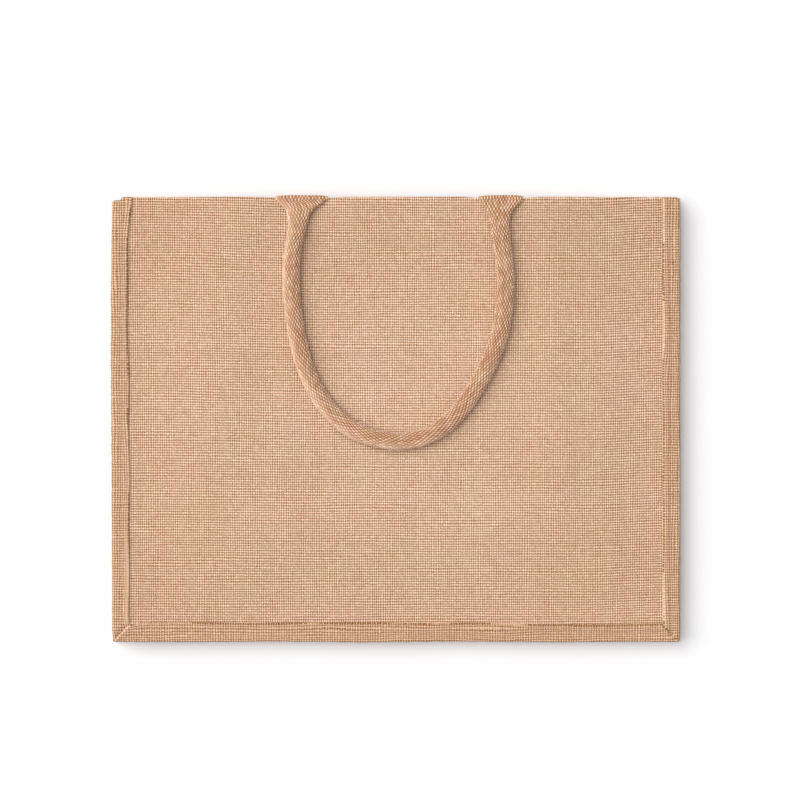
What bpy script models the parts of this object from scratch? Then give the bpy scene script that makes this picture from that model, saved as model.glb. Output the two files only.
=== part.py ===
"""Burlap shopping bag lying flat on its back, with its mouth towards +Y.

Two panels hemmed at the rim, one gusset strip folded inwards on three sides, a binding
round each panel's seam, and a webbing handle sewn inside each rim. Lengths here are in
millimetres, and MM turns them into Blender's metres. Each sheet is a grid laid out by a
function of its row and column, then thickened by a Solidify modifier.
"""

import math

import bmesh
import bpy
import numpy as np
from mathutils import Vector

MM = 0.001
WIDTH = 420.0  # across the bag, over both bindings
HEIGHT = 329.0  # from the bottom binding to the rim
RIM_Y = 163.87  # puts the box of the whole bag, handles included, on the origin
BOTTOM_Y = RIM_Y - HEIGHT
CLOTH = 1.1
BINDING = 1.0
WEBBING = 1.5
GAP = 0.3
WEBBING_GAP = 0.5  # between the webbing and the hem it is sewn to

HEM_DEPTH = 28.0
HEM_FOLD = (CLOTH + GAP) / 2  # radius of the hem's fold, at the cloth's middle
HEM_STEP = 0.8  # how far the hem's second layer lifts the panel
HEM_INSET = 20.0  # the hem's second layer starts this far in from the sides
HEM_RISE = (8.0, 1.5)  # the lift comes in over this stretch below the hem's cut edge
ROOT_NOTCH = 0.7  # how far a handle presses the rim down
NOTCH_RAMP = (1.0, 12.0)  # and fades out this far beyond the webbing's edges
SEAM_INSET = 2.6  # the cloth's cut edges, inside the bindings
FLAT_INSET = 14.5  # the sewn margin stays flat as far in as this
BINDING_WIDTH = 12.6

BACK_EDGE = 1.3  # underside of the back panel in its binding
FRONT_EDGE = 14.5  # underside of the front panel in its binding
RIDGE = 19.8  # underside of the front panel over the gusset's fold
SAG = 0.7  # how far it falls between the folds
SAG_REACH = 20.0  # and over what distance
CREST_INSET = 92.0  # inset at which the front panel reaches its ridge
MOUTH_LIFT = 1.8  # how far the rim gapes above that
MOUTH_RISE = (80.0, 4.0)  # distances below the rim over which it comes in
MOUTH_INSETS = (60.0, 112.0)  # insets over which it comes in
GUSSET_DEPTH = 95.0  # half of the gusset's width, folded inwards
FOLD_REACH = 6.5
LEAF_SLACK = 1.2  # room between a gusset leaf and its panel, away from the seam
SLACK_INSET = 30.0  # inset at which that room is whole
LEAF_HEM_RISE = (18.0, 5.0)  # the leaf makes way for the hem over this stretch

TUBE_HEIGHT = 10.0
TUBE_WIDTH = 12.7
TUBE_GAP = 0.6  # from the front handle to the panel below it
TENT_GAP = 1.2  # from the back handle to the panel above it
TENT_REACH = 52.0  # how far from the handle the back panel comes down to the ground
TENT_RIM = 7.5  # underside of the back panel where a handle goes over its rim
TENT_RISE = (2.0, 26.0)  # distances below the rim over which it comes up to the crest
EDGE_INSET = 30.0  # inset at which the back panel has come down to the ground
ROOT_FLAT = 22.0  # half of the width held up by the flat webbing at the rim
ROOT_NARROWS = (8.0, 30.0)  # distances below the rim over which that width goes
LOOP_LIFT = 5.8  # the back panel inside the handle's loop
LOOP_X = (42.0, 80.0)  # and how it comes down across the loop
LOOP_Y = (-16.0, 34.0)  # and towards the loop's round end
TAB_LENGTH = 30.0
TURNS_SQUARE = (4.0, 34.0)  # below the rim, where the webbing turns from it to its own line

# The handle's middle line in plan: x, and the distance below the rim.
HANDLE_LINE = (
    (-69.9, 0.0),
    (-72.3, 12.0),
    (-73.4, 24.0),
    (-76.6, 40.0),
    (-77.6, 61.0),
    (-76.3, 83.0),
    (-72.6, 106.0),
    (-65.8, 130.0),
    (-53.0, 153.0),
    (-33.5, 171.3),
    (-8.0, 179.7),
    (17.5, 178.2),
    (38.5, 166.0),
    (54.0, 147.5),
    (67.5, 124.0),
    (77.0, 98.0),
    (80.4, 68.0),
    (79.0, 44.0),
    (76.2, 22.0),
    (76.2, 10.0),
    (77.3, 0.0),
)

# How the flat webbing rolls up: distance from the rim, share of the way from its flat
# width to the tube's, and its height.
FUNNEL = (
    (2.0, 0.04, 1.5),
    (5.0, 0.25, 3.4),
    (9.5, 0.66, 5.9),
    (14.5, 0.86, 7.8),
    (21.0, 0.96, 9.4),
    (32.0, 1.00, 10.0),
)
ROOT_WIDTHS = (40.0, 34.0)  # the flat webbing at the left root and at the right root

PANEL_COLUMNS = 26
PANEL_ROWS = 18
LOOP_STEPS = 32
HANDLE_POINTS = 12

BURLAP_COLOUR = (0.66, 0.44, 0.30, 1.0)
WEBBING_COLOUR = (0.56, 0.36, 0.23, 1.0)


def ramp(value, low, high):
    """0 below low, 1 above high and a smooth step between them."""
    share = min(max((value - low) / (high - low), 0.0), 1.0)
    return share * share * (3.0 - 2.0 * share)


def spaced(start, end, count):
    """count steps from start to end, as a list of both ends and the values between."""
    return [start + (end - start) * k / count for k in range(count + 1)]


def smooth_line(points, steps):
    """A Catmull-Rom curve through the points, as an array of x and y."""
    known = np.array(points)
    ends = np.array([2 * known[0] - known[1]]), np.array([2 * known[-1] - known[-2]])
    knots = np.concatenate([ends[0], known, ends[1]])
    line = []
    for k in range(1, len(knots) - 2):
        before, here, there, after = knots[k - 1 : k + 3]
        for share in np.arange(steps) / steps:
            bend = 2 * before - 5 * here + 4 * there - after
            twist = 3 * here - before - 3 * there + after
            pull = (there - before) * share + bend * share**2 + twist * share**3
            line.append(here + 0.5 * pull)
    return np.array(line + [knots[-2]])


LINE = smooth_line([(x, RIM_Y - down) for x, down in HANDLE_LINE], 8)
LINE_STEPS = np.hypot(*np.diff(LINE, axis=0).T)
LINE_AT = np.concatenate([[0.0], np.cumsum(LINE_STEPS)])
LINE_LENGTH = LINE_AT[-1]


def inset_of(x, y):
    """Distance in from the nearest sewn edge: a side or the bottom."""
    return min(WIDTH / 2 - abs(x), y - BOTTOM_Y)


def line_distance(x, y):
    """Distance in plan from the handle's middle line."""
    starts = LINE[:-1]
    runs = np.diff(LINE, axis=0)
    offsets = np.array([x, y]) - starts
    shares = np.clip((offsets * runs).sum(1) / (runs * runs).sum(1), 0.0, 1.0)
    return float(np.hypot(*(offsets - runs * shares[:, None]).T).min())


def tent_height(y):
    """The back panel's underside on the handle's middle line."""
    down = RIM_Y - y
    crest = TUBE_HEIGHT + TENT_GAP
    return TENT_RIM + (crest - TENT_RIM) * ramp(down, *TENT_RISE)


def back_under(x, y):
    """Underside of the back panel: on the ground, or held up by the handle below it."""
    down = RIM_Y - y
    flat = ROOT_FLAT * (1.0 - ramp(down, *ROOT_NARROWS))
    away = max(line_distance(x, y) - flat, 0.0)
    tent = 1.0 - ramp(away, 0.0, TENT_REACH)
    inside = (1.0 - ramp(abs(x), *LOOP_X)) * ramp(y, *LOOP_Y)
    edge = BACK_EDGE * (1.0 - ramp(inset_of(x, y), FLAT_INSET, EDGE_INSET))
    return edge + tent * tent_height(y) + (1.0 - tent) * inside * LOOP_LIFT


def rises_to_hem(y, stretch):
    """0 below the stretch, given as distances below the hem's cut edge, and 1 above."""
    cut = RIM_Y - HEM_DEPTH
    return ramp(y, cut - stretch[0], cut - stretch[1])


def front_under(x, y):
    """Underside of the front panel: low at the seams, high over the gusset's fold."""
    inset = inset_of(x, y)
    rise = (RIDGE - FRONT_EDGE) * ramp(inset, FLAT_INSET, CREST_INSET)
    fall = SAG * ramp(inset, GUSSET_DEPTH, GUSSET_DEPTH + SAG_REACH)
    hem = rises_to_hem(y, HEM_RISE)
    step = HEM_STEP * hem * ramp(inset, FLAT_INSET, HEM_INSET)
    mouth = ramp(y, RIM_Y - MOUTH_RISE[0], RIM_Y - MOUTH_RISE[1])
    gape = MOUTH_LIFT * mouth * ramp(inset, *MOUTH_INSETS)
    return FRONT_EDGE + rise - fall + step + gape


def panel_under(side, x, y):
    """Underside of the front (side 1) or the back (side -1) panel."""
    return front_under(x, y) if side > 0 else back_under(x, y)


def rim_of(x):
    """The rim's y, which a handle presses down a little at each of its roots."""
    pressed = 0.0
    for root, width in zip((HANDLE_LINE[0][0], HANDLE_LINE[-1][0]), ROOT_WIDTHS):
        beyond = abs(x - root) - width / 2
        pressed += 1.0 - ramp(beyond, *NOTCH_RAMP)
    return RIM_Y - ROOT_NOTCH * pressed


def leaf_clearance(x, y):
    """Room between a panel and the gusset leaf beside it, the hem's layer included."""
    inset = inset_of(x, y)
    slack = LEAF_SLACK * ramp(inset, BINDING_WIDTH, SLACK_INSET)
    hem = rises_to_hem(y, LEAF_HEM_RISE)
    layer = (CLOTH + GAP) * hem * ramp(inset, FLAT_INSET + 0.5, HEM_INSET)
    return GAP + slack + layer


def new_material(name, colour, roughness):
    """A plain cloth material."""
    material = bpy.data.materials.new(name)
    material.use_nodes = True
    shader = material.node_tree.nodes["Principled BSDF"]
    shader.inputs["Base Color"].default_value = colour
    shader.inputs["Roughness"].default_value = roughness
    shader.inputs["Metallic"].default_value = 0.0
    material.diffuse_color = colour
    return material


def new_grid(columns, rows, place, skip=None):
    """A grid mesh whose vertex in each column and row is at place(column, row), without
    the faces whose column and row skip names."""
    mesh = bmesh.new()
    bmesh.ops.create_grid(mesh, x_segments=columns, y_segments=rows, size=0.5)
    cut = []
    for face in mesh.faces if skip else []:
        middle = face.calc_center_median()
        if skip(int((middle.x + 0.5) * columns), int((middle.y + 0.5) * rows)):
            cut.append(face)
    bmesh.ops.delete(mesh, geom=cut, context="FACES")
    for vertex in mesh.verts:
        column = round((vertex.co.x + 0.5) * columns)
        row = round((vertex.co.y + 0.5) * rows)
        vertex.co = Vector(place(column, row)) * MM
    return mesh


def add_object(name, mesh, material):
    """The mesh as a smooth-shaded object of the scene."""
    data = bpy.data.meshes.new(name)
    mesh.to_mesh(data)
    mesh.free()
    data.materials.append(material)
    data.polygons.foreach_set("use_smooth", [True] * len(data.polygons))
    made = bpy.data.objects.new(name, data)
    bpy.context.scene.collection.objects.link(made)
    return made


def add_sheet(name, mesh, thickness, material):
    """The mesh as a sheet of this thickness, half of it on each side."""
    sheet = add_object(name, mesh, material)
    solidify = sheet.modifiers.new("thickness", "SOLIDIFY")
    solidify.thickness = thickness * MM
    solidify.offset = 0.0
    solidify.use_even_offset = True
    return sheet


def add_panel(name, side, material):
    """A panel, front (side 1) or back (side -1), with its hem turned inside."""
    half = WIDTH / 2
    seam, margin, hem_side = half - SEAM_INSET, half - FLAT_INSET, half - HEM_INSET
    inner = spaced(-hem_side, hem_side, PANEL_COLUMNS)
    columns = [-seam, -margin] + inner + [margin, seam]
    step = RIM_Y - HEM_DEPTH - 8.0
    levels = [BOTTOM_Y + SEAM_INSET, BOTTOM_Y + FLAT_INSET]
    levels += spaced(BOTTOM_Y + 26.0, step, PANEL_ROWS)
    levels += [RIM_Y - down for down in (HEM_DEPTH + 1.5, 21.0, 16.0, 9.0)]
    fold_start = len(levels)
    rows = [(y, 0.0) for y in levels]
    rows += [(0.0, angle) for angle in spaced(0.0, 180.0, 5)]
    rows += [(down, 180.0) for down in (8.0, 14.5, 20.0, HEM_DEPTH)]

    def place(column, row):
        x = columns[column]
        level, angle = rows[row]
        turn = math.radians(angle)
        fold_y = rim_of(x) - HEM_FOLD - CLOTH / 2
        y = level if row < fold_start else fold_y - level
        under = panel_under(side, x, min(y, fold_y))
        z = under + CLOTH / 2 - side * HEM_FOLD * (1.0 - math.cos(turn))
        return x, y + HEM_FOLD * math.sin(turn), z

    def beside_hem(column, row):
        return row >= fold_start and not 2 <= column < 2 + PANEL_COLUMNS

    mesh = new_grid(len(columns) - 1, len(rows) - 1, place, beside_hem)
    return add_sheet(name, mesh, CLOTH, material)


def strip_place(inset, station, top):
    """The plan position of a strip's point: station 0 to 1 down the left side, to 2
    along the bottom and to 3 up the right side, mitred at the corners."""
    left, bottom = -WIDTH / 2 + inset, BOTTOM_Y + inset
    if station <= 1.0:
        return left, top + (bottom - top) * station
    if station <= 2.0:
        return left - 2 * left * (station - 1.0), bottom
    return -left, bottom + (top - bottom) * (station - 2.0)


def add_gusset(material):
    """The strip between the panels' sides and bottoms, folded inwards along its middle."""
    reach = GUSSET_DEPTH - FOLD_REACH
    leaf = [SEAM_INSET, BINDING_WIDTH, HEM_INSET, 30.0, 44.0, 59.0, 74.0, reach]
    section = [(inset, -90.0) for inset in leaf]
    section += [(reach, angle) for angle in (-60.0, -30.0, 0.0, 30.0, 60.0)]
    section += [(inset, 90.0) for inset in reversed(leaf)]
    side = [0.0, 0.05, 0.105, 0.15, 0.22, 0.31, 0.4, 0.5, 0.6, 0.7, 0.8, 0.9]
    stations = side + spaced(1.0, 2.0, 12) + [3.0 - share for share in reversed(side)]
    top = RIM_Y - CLOTH

    def place(column, row):
        inset, angle = section[column]
        turn = math.radians(angle)
        x, y = strip_place(inset, stations[row], top)
        clear = leaf_clearance(x, y) + CLOTH / 2
        low = back_under(x, y) + CLOTH + clear
        high = front_under(x, y) - clear
        z = (low + high) / 2 + (high - low) / 2 * math.sin(turn)
        inset += FOLD_REACH * math.cos(turn)
        x, y = strip_place(inset, stations[row], top)
        return x, y, z

    mesh = new_grid(len(section) - 1, len(stations) - 1, place)
    return add_sheet("gusset", mesh, CLOTH, material)


def add_binding(name, side, material):
    """The strip folded round the seam of the front (side 1) or back (side -1) panel."""
    if side > 0:
        panel_face = FRONT_EDGE + CLOTH
    else:
        panel_face = BACK_EDGE
    outer = panel_face + side * (GAP + BINDING / 2)
    inner = panel_face - side * (2 * CLOTH + 2 * GAP + BINDING / 2)
    radius = abs(outer - inner) / 2
    centre = BINDING / 2 + radius
    section = [(BINDING_WIDTH, 90.0), (8.0, 90.0)]
    section += [(centre, angle) for angle in (90.0, 60.0, 30.0, 0.0, -30.0, -60.0, -90.0)]
    section += [(8.0, -90.0), (BINDING_WIDTH - 0.8, -90.0)]
    stations = spaced(0.0, 1.0, 9) + spaced(1.0, 2.0, 12)[1:] + spaced(2.0, 3.0, 9)[1:]

    def place(column, row):
        inset, angle = section[column]
        turn = math.radians(angle)
        inset -= radius * math.cos(turn)
        x, y = strip_place(inset, stations[row], RIM_Y)
        z = (outer + inner) / 2 + side * radius * math.sin(turn)
        return x, y, z

    mesh = new_grid(len(section) - 1, len(stations) - 1, place)
    return add_sheet(name, mesh, BINDING, material)


def root_rings(side, end):
    """The flat webbing from its inner end up to and over the rim, at the left (end 0) or
    the right (end 1) root: middle, direction across, outward, width and height."""
    x = HANDLE_LINE[-end][0]
    across = Vector((1.0 - 2.0 * end, 0.0, 0.0))
    radius = HEM_FOLD + CLOTH / 2 + WEBBING_GAP + WEBBING / 2
    fold_y = rim_of(x) - HEM_FOLD - CLOTH / 2
    rings = []
    for down in (TAB_LENGTH, 23.0, 17.0, 11.0, 5.0):
        y = fold_y - down
        z = panel_under(side, x, y) + CLOTH / 2 - side * (HEM_FOLD + radius)
        rings.append((Vector((x, y, z)), Vector((0.0, 0.0, -side))))
    for angle in spaced(180.0, 0.0, 8):
        turn = math.radians(angle)
        outward = Vector((0.0, math.sin(turn), side * math.cos(turn)))
        middle = Vector((x, fold_y, panel_under(side, x, fold_y) + CLOTH / 2))
        middle.z -= side * HEM_FOLD
        rings.append((middle + outward * radius, outward))
    return [(at, across, out, ROOT_WIDTHS[end], WEBBING) for at, out in rings]


def loop_rings(side):
    """The webbing from rim to rim: middle, direction across, outward, width and height."""
    downs, shares, heights = zip(*FUNNEL)
    near = [3.4, 5.0, 7.2, 9.5, 12.0, 14.5, 17.5, 21.0, 26.0, 32.0]
    far = [LINE_LENGTH - at for at in reversed(near)]
    rings = []
    for at in near[:-1] + spaced(near[-1], far[0], LOOP_STEPS) + far[1:]:
        x, y = (float(np.interp(at, LINE_AT, LINE[:, k])) for k in (0, 1))
        ahead = [float(np.interp(at + 0.5, LINE_AT, LINE[:, k])) for k in (0, 1)]
        behind = [float(np.interp(at - 0.5, LINE_AT, LINE[:, k])) for k in (0, 1)]
        heading = Vector((ahead[0] - behind[0], ahead[1] - behind[1], 0.0)).normalized()
        from_rim = min(at, LINE_LENGTH - at)
        along_rim = Vector((1.0 if at < LINE_LENGTH / 2 else -1.0, 0.0, 0.0))
        square = Vector((-heading.y, heading.x, 0.0))
        across = along_rim.lerp(square, ramp(from_rim, *TURNS_SQUARE)).normalized()
        root_width = ROOT_WIDTHS[0] if at < LINE_LENGTH / 2 else ROOT_WIDTHS[1]
        share = float(np.interp(from_rim, downs, shares))
        width = root_width + (TUBE_WIDTH - root_width) * share
        height = float(np.interp(from_rim, downs, heights))
        if side > 0:
            room = WEBBING_GAP + (TUBE_GAP - WEBBING_GAP) * share
            z = front_under(x, y) + CLOTH + room + height / 2
        else:
            room = WEBBING_GAP + (TENT_GAP - WEBBING_GAP) * share
            z = tent_height(y) - room - height / 2
        rings.append((Vector((x, y, z)), across, Vector((0.0, 0.0, side)), width, height))
    return rings


def add_handle(name, side, material):
    """The webbing: a flat tab inside the rim, over it, then rolled up into a loop."""
    rings = root_rings(side, 0) + loop_rings(side) + root_rings(side, 1)[::-1]
    points = HANDLE_POINTS

    def place(column, row):
        centre, across, outward, width, height = rings[row]
        turn = math.tau * (column % points) / points
        roundness = (height - WEBBING) / (TUBE_HEIGHT - WEBBING)
        power = 0.25 + 0.70 * roundness
        over, up = math.cos(turn), math.sin(turn)
        over = math.copysign(abs(over) ** power, over) * width / 2
        up = math.copysign(abs(up) ** power, up) * height / 2
        return centre + across * over + outward * up

    mesh = new_grid(points, len(rings) - 1, place)
    bmesh.ops.remove_doubles(mesh, verts=mesh.verts, dist=0.01 * MM)
    bmesh.ops.holes_fill(mesh, edges=mesh.edges, sides=points)
    bmesh.ops.recalc_face_normals(mesh, faces=mesh.faces)
    return add_object(name, mesh, material)


for old in list(bpy.data.objects):
    bpy.data.objects.remove(old)

burlap = ["front_panel", "back_panel", "gusset", "front_binding", "back_binding"]
cloth = {name: new_material(name, BURLAP_COLOUR, 0.9) for name in burlap}
webs = {}
for name in ("front_handle", "back_handle"):
    webs[name] = new_material(name, WEBBING_COLOUR, 0.9)

add_panel("front_panel", 1, cloth["front_panel"])
add_panel("back_panel", -1, cloth["back_panel"])
add_gusset(cloth["gusset"])
add_binding("front_binding", 1, cloth["front_binding"])
add_binding("back_binding", -1, cloth["back_binding"])
add_handle("front_handle", 1, webs["front_handle"])
add_handle("back_handle", -1, webs["back_handle"])
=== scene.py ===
"""Looks of the burlap shopping bag that lies flat on its back, mouth towards +Y.

Sizes are in millimetres and MM turns them into metres. Each piece of cloth is a grid laid
out row by row in the same folds as the solid it stands for, with its own flat size as its
UV map in metres, so that the weave on it has its true scale.
"""

import math

import bmesh
import bpy
import numpy as np
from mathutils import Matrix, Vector


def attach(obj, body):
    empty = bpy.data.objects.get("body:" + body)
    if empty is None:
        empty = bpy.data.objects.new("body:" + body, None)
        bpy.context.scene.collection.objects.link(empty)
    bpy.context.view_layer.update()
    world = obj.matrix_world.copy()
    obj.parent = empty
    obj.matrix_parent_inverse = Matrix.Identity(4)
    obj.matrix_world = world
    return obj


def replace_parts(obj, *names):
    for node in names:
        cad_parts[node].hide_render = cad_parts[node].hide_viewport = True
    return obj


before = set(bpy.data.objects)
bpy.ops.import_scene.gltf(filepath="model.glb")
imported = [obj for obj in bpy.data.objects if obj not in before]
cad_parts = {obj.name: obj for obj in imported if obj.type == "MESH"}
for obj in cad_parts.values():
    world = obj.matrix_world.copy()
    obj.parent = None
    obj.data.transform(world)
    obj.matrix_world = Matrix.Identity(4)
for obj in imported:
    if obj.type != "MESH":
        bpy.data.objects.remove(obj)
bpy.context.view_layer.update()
MM = 0.001

# ---- Camera, floor and light ------------------------------------------------------------
# The bag is seen straight from above through a long lens, on a plain white floor. A large
# soft light stands at the upper left, another hangs overhead, and a white sky fills in.
PHOTO_PIXELS = 800
PIXELS_PER_METRE = 1352.0  # at the height of the front panel's sewn edge
EDGE_HEIGHT = 0.0155
LENS_MM, SENSOR_MM = 150.0, 36.0
VIEW_CENTRE = (0.0026, 0.0139)
SKY_STRENGTH, SKY_COLOUR = 0.315, (0.99, 0.97, 1.03, 1.0)
FLOOR_HALF, FLOOR_DROP = 6.0, 0.2  # half its size in metres, and millimetres below the bag
PAPER_WHITE = 0.88

view_width = PHOTO_PIXELS / PIXELS_PER_METRE
camera = bpy.data.objects.new("camera", bpy.data.cameras.new("camera"))
camera.data.lens, camera.data.sensor_width = LENS_MM, SENSOR_MM
camera.data.clip_start, camera.data.clip_end = 0.05, 20.0
camera.location = (*VIEW_CENTRE, EDGE_HEIGHT + view_width * LENS_MM / SENSOR_MM)
bpy.context.scene.collection.objects.link(camera)
bpy.context.scene.camera = camera
bpy.context.scene.view_settings.view_transform = "Standard"


def lamp(name, strength, azimuth, elevation, across):
    """A sun lamp: where it stands and how wide it looks are in degrees."""
    sun = bpy.data.objects.new(name, bpy.data.lights.new(name, "SUN"))
    sun.data.energy, sun.data.angle = strength, math.radians(across)
    around, above = math.radians(azimuth), math.radians(elevation)
    level = math.cos(above)
    towards = Vector((level * math.cos(around), level * math.sin(around), math.sin(above)))
    sun.rotation_euler = towards.to_track_quat("Z", "Y").to_euler()
    bpy.context.scene.collection.objects.link(sun)


lamp("side_light", strength=2.50, azimuth=155.0, elevation=54.0, across=60.0)
lamp("top_light", strength=0.72, azimuth=90.0, elevation=89.0, across=30.0)

sky = bpy.data.worlds.new("soft_sky")
sky.use_nodes = True
sky.node_tree.nodes["Background"].inputs["Color"].default_value = SKY_COLOUR
sky.node_tree.nodes["Background"].inputs["Strength"].default_value = SKY_STRENGTH
bpy.context.scene.world = sky

floor_mesh = bmesh.new()
bmesh.ops.create_grid(floor_mesh, x_segments=1, y_segments=1, size=FLOOR_HALF)
bmesh.ops.translate(floor_mesh, vec=(0.0, 0.0, -FLOOR_DROP * MM), verts=floor_mesh.verts)
floor = bpy.data.objects.new("floor", bpy.data.meshes.new("floor"))
floor_mesh.to_mesh(floor.data)
floor_mesh.free()
bpy.context.scene.collection.objects.link(floor)
paper = bpy.data.materials.new("white_floor")
paper.use_nodes = True
paper_shader = paper.node_tree.nodes["Principled BSDF"]
paper_shader.inputs["Base Color"].default_value = (PAPER_WHITE,) * 3 + (1.0,)
paper_shader.inputs["Roughness"].default_value = 1.0
paper_shader.inputs["Specular IOR Level"].default_value = 0.0
floor.data.materials.append(paper)

# ---- Front panel ------------------------------------------------------------------------
# The front of the bag: one piece of natural jute burlap, a plain weave of single threads
# 1.6 to 1.9 mm apart. Its rim is turned 28 mm inwards and sewn down, and its sides and
# bottom are sewn to the gusset. It lies over the gusset's folds and sags between them.
WIDTH, HEIGHT, RIM_Y = 420.0, 329.0, 163.87
BOTTOM_Y = RIM_Y - HEIGHT
CLOTH, GAP = 1.1, 0.3
HEM_DEPTH, HEM_STEP, HEM_INSET, HEM_RISE = 28.0, 0.8, 20.0, (8.0, 1.5)
HEM_FOLD = (CLOTH + GAP) / 2
ROOT_NOTCH, NOTCH_RAMP = 0.7, (1.0, 12.0)
SEAM_INSET, FLAT_INSET = 2.6, 14.5
FRONT_EDGE, RIDGE, CREST_INSET = 14.5, 19.8, 92.0
GUSSET_DEPTH, SAG, SAG_REACH = 95.0, 0.7, 20.0
MOUTH_LIFT, MOUTH_RISE, MOUTH_INSETS = 1.8, (80.0, 4.0), (60.0, 112.0)
RIM_CUT, RIM_CUT_INSETS = 2.7, (5.6, 7.4)
RIM_ROW = 3.5  # the last row of the grid below the rim
ROOTS = ((-69.9, 40.0), (77.3, 34.0))  # x and width of each end of a handle, at the rim
GRID_STEP, HEM_GRID_STEP, FOLD_ROWS = 2.0, 2.6, 9
# How far the wefts bow up at each side: at mid height, more for each millimetre above it,
# and between which distances from the middle. The warps spread by a share above a height.
LEFT_BOW, RIGHT_BOW = (1.4, 0.009, 45.0, 195.0), (1.9, 0.003, 140.0, 200.0)
WARP_SPREAD, SPREAD_RISE = 0.0035, (10.0, 150.0)
WARP_PITCH, WEFT_PITCH = 1.633, 1.879
PINK_JUTE, STRAW_JUTE = (0.913, 0.661, 0.506, 1.0), (0.903, 0.667, 0.496, 1.0)
EDGE_SHADE_REACH = (210.0, 165.0)  # painted shade: a panel is darker this far from its middle, across and up, as it curves down
BURLAP_RELIEF, BURLAP_ROUGHNESS = 0.38, 0.93
FAINT_GLOSS = 0.05
LOOSE_FROM = (-105.0, -75.0)  # from the one height to the other a strip's gaps open up
RUN_APART = 1000.0  # a strip's runs are this far apart along the cloth's flat map
MITRE_AT = 802.1  # where on that map the left corner's fold crosses the strip's own fold


def ramp(value, low, high):
    """0 below low, 1 above high and a smooth step between them."""
    share = np.clip((value - low) / (high - low), 0.0, 1.0)
    return share * share * (3.0 - 2.0 * share)


def swell(value, middle, reach):
    """A soft bump, 1 at the middle and 0 from the reach on."""
    return 1.0 - ramp(np.abs(value - middle), 0.0, reach)


def waves(x, y, seed, size, count=7):
    """Slow random unevenness between about -1 and 1, with bumps of the given size."""
    draw = np.random.default_rng(seed)
    total = np.zeros(np.broadcast(x, y).shape)
    for _ in range(count):
        turn, phase = draw.uniform(0.0, math.tau, 2)
        length = size * draw.uniform(1.4, 3.2)
        along = x * math.cos(turn) + y * math.sin(turn)
        total += np.sin(math.tau * along / length + phase)
    return total / math.sqrt(count)


def inset_of(x, y):
    """Distance in from the nearest sewn edge: a side or the bottom."""
    return np.minimum(WIDTH / 2 - np.abs(x), y - BOTTOM_Y)


def front_under(x, y):
    """Underside of the front panel: low at the seams, high over the gusset's fold."""
    inset = inset_of(x, y)
    rise = (RIDGE - FRONT_EDGE) * ramp(inset, FLAT_INSET, CREST_INSET)
    fall = SAG * ramp(inset, GUSSET_DEPTH, GUSSET_DEPTH + SAG_REACH)
    cut = RIM_Y - HEM_DEPTH
    hem = ramp(y, cut - HEM_RISE[0], cut - HEM_RISE[1])
    step = HEM_STEP * hem * ramp(inset, FLAT_INSET, HEM_INSET)
    mouth = ramp(y, RIM_Y - MOUTH_RISE[0], RIM_Y - MOUTH_RISE[1])
    gape = MOUTH_LIFT * mouth * ramp(inset, *MOUTH_INSETS)
    return FRONT_EDGE + rise - fall + step + gape


def rim_of(x):
    """The rim's y, which a handle presses down a little at each of its roots."""
    pressed = 0.0
    for root, width in ROOTS:
        pressed = pressed + 1.0 - ramp(np.abs(x - root) - width / 2, *NOTCH_RAMP)
    return RIM_Y - ROOT_NOTCH * pressed


def spread(*stops, step):
    """Values from each stop to the next in equal steps of about the given size."""
    parts = []
    for low, high in zip(stops, stops[1:]):
        count = max(1, math.ceil(abs(high - low) / step))
        parts.append(np.linspace(low, high, count, endpoint=False))
    return np.concatenate(parts + [[stops[-1]]])


def new_cloth(name, columns, rows, place, skip=None, closed=False):
    """A grid as a new object. place(column, row) gives arrays of x, y, z, u and v in
    millimetres for arrays of columns and rows. A closed one is joined along its sides
    into a tube and capped."""
    grid = bmesh.new()
    bmesh.ops.create_grid(grid, x_segments=columns, y_segments=rows, size=0.5)
    if skip:
        cut = []
        for face in grid.faces:
            middle = face.calc_center_median()
            if skip(int((middle.x + 0.5) * columns), int((middle.y + 0.5) * rows)):
                cut.append(face)
        bmesh.ops.delete(grid, geom=cut, context="FACES")
    data = bpy.data.meshes.new(name)
    grid.to_mesh(data)
    grid.free()
    flat = np.empty(len(data.vertices) * 3)
    data.vertices.foreach_get("co", flat)
    flat = flat.reshape(-1, 3)
    column = np.rint((flat[:, 0] + 0.5) * columns).astype(int)
    row = np.rint((flat[:, 1] + 0.5) * rows).astype(int)
    x, y, z, u, v = place(column, row)
    data.vertices.foreach_set("co", (np.stack([x, y, z], 1) * MM).ravel())
    corner = np.empty(len(data.loops), int)
    data.loops.foreach_get("vertex_index", corner)
    layer = data.uv_layers.new(name="cloth")
    layer.data.foreach_set("uv", (np.stack([u, v], 1)[corner] * MM).ravel())
    if closed:
        tube = bmesh.new()
        tube.from_mesh(data)
        bmesh.ops.remove_doubles(tube, verts=tube.verts, dist=0.001 * MM)
        bmesh.ops.holes_fill(tube, edges=tube.edges, sides=columns)
        bmesh.ops.recalc_face_normals(tube, faces=tube.faces)
        tube.to_mesh(data)
        tube.free()
    data.polygons.foreach_set("use_smooth", [True] * len(data.polygons))
    made = bpy.data.objects.new(name, data)
    bpy.context.scene.collection.objects.link(made)
    return made


def thicken(cloth, thickness):
    """Gives a sheet its thickness, half of it on each side."""
    solidify = cloth.modifiers.new("thickness", "SOLIDIFY")
    solidify.thickness = thickness * MM
    solidify.offset = 0.0


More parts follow.
